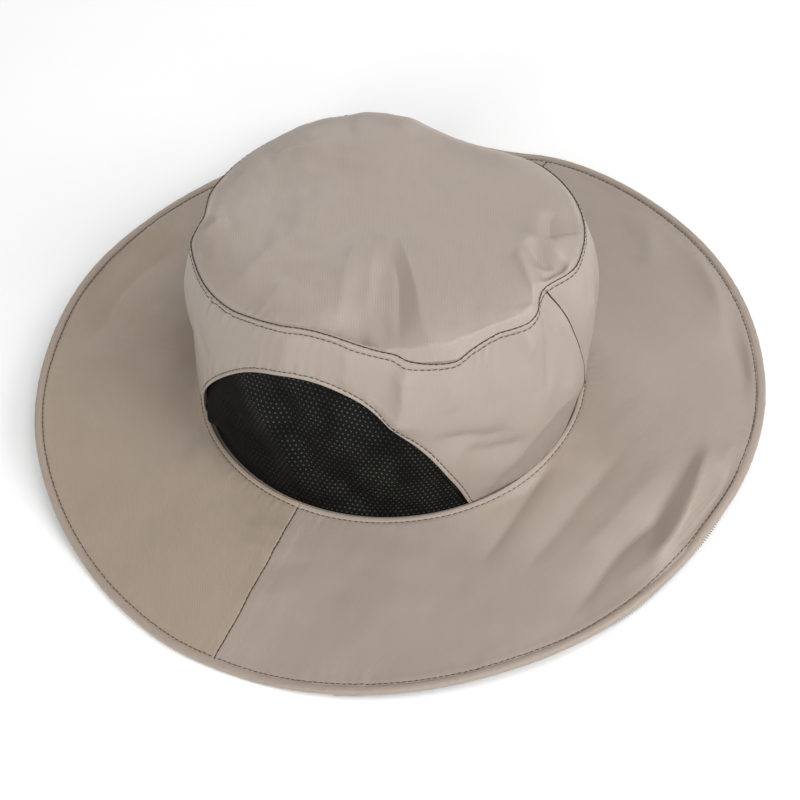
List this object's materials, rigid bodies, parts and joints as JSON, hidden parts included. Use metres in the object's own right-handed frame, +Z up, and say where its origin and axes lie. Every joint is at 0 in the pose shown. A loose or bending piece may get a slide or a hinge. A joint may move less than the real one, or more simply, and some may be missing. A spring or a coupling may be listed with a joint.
{
  "type": "beekeeper veil hat",
  "caption": "Soft wide-brimmed cloth sun hat with mesh side vents and a black insect net sewn to the bound brim edge and stowed underneath.",
  "frame": {"origin": "centre of the hat's outline on the surface it lies on, under the head opening", "axes": "+Z up through the crown, -Y towards the front of the hat, +X towards the wearer's left"},
  "size_m": [0.3494, 0.3764, 0.1184],
  "materials": {
    "crown_top_cloth": "smooth fine twill",
    "crown_band_cloth": "smooth fine twill",
    "brim_cloth": "smooth fine twill",
    "binding_cloth": "rolled and topstitched twill",
    "vent_mesh": "knitted eyelet mesh",
    "veil_net": "fine open net"
  },
  "bodies": {
    "root": {"crown_top": "crown_top_cloth", "crown_band": "crown_band_cloth", "side_vent_left": "vent_mesh", "side_vent_right": "vent_mesh", "brim_back": "brim_cloth", "brim_front": "brim_cloth", "brim_binding": "binding_cloth", "veil_net": "veil_net"}
  },
  "joints": []
}
